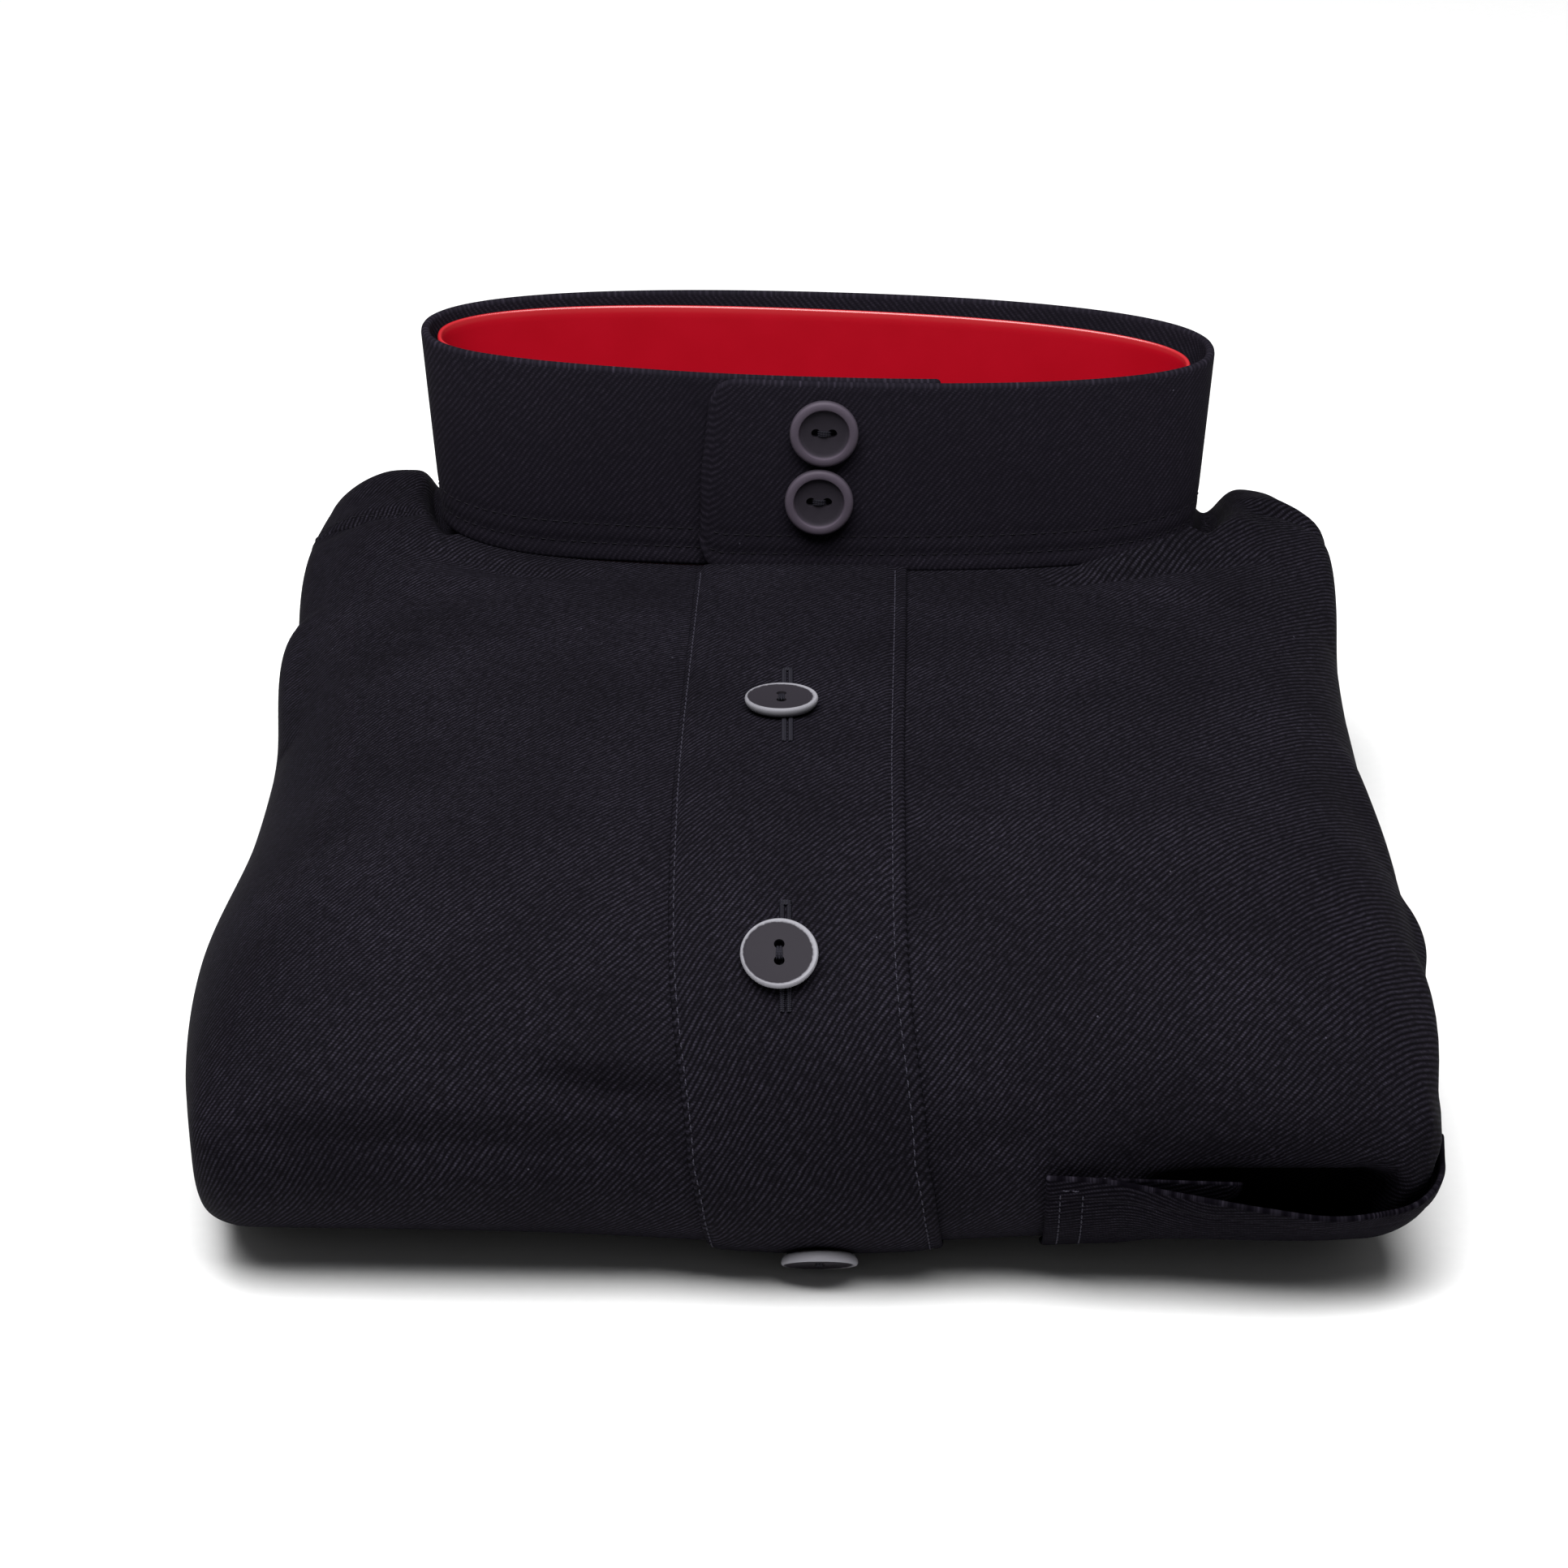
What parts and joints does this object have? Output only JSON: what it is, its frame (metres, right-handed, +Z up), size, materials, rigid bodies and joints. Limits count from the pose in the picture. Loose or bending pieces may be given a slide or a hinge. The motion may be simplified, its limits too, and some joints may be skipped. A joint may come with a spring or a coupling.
{
  "type": "folded thobe robe with collar support strip",
  "caption": "Long stand-collar robe in dark twill, folded flat into a soft bundle with its collar standing round a support strip.",
  "frame": {"origin": "middle of the bundle's footprint, on the surface that it lies on", "axes": "+Z up, +Y from the rounded front end towards the collar, +X to the right seen from the front end"},
  "size_m": [0.2487, 0.2875, 0.1165],
  "materials": {
    "navy_twill": "matt, fine diagonal twill, near-black navy",
    "folded_twill": "the same twill, folded in layers",
    "smoke_resin": "smoke-grey polyester button, satin",
    "red_card": "red card strip, glossy"
  },
  "bodies": {
    "root": {"folded_layers": "folded_twill", "front_right": "navy_twill", "front_left": "navy_twill", "back_yoke": "navy_twill", "sleeve_left": "folded_twill", "sleeve_right": "folded_twill", "placket": "navy_twill", "collar": "navy_twill", "collar_support": "red_card", "chest_pocket": "navy_twill", "pocket_hem": "navy_twill", "collar_button_upper": "smoke_resin", "collar_button_lower": "smoke_resin", "placket_button_top": "smoke_resin", "placket_button_middle": "smoke_resin", "placket_button_low": "smoke_resin"}
  },
  "joints": []
}
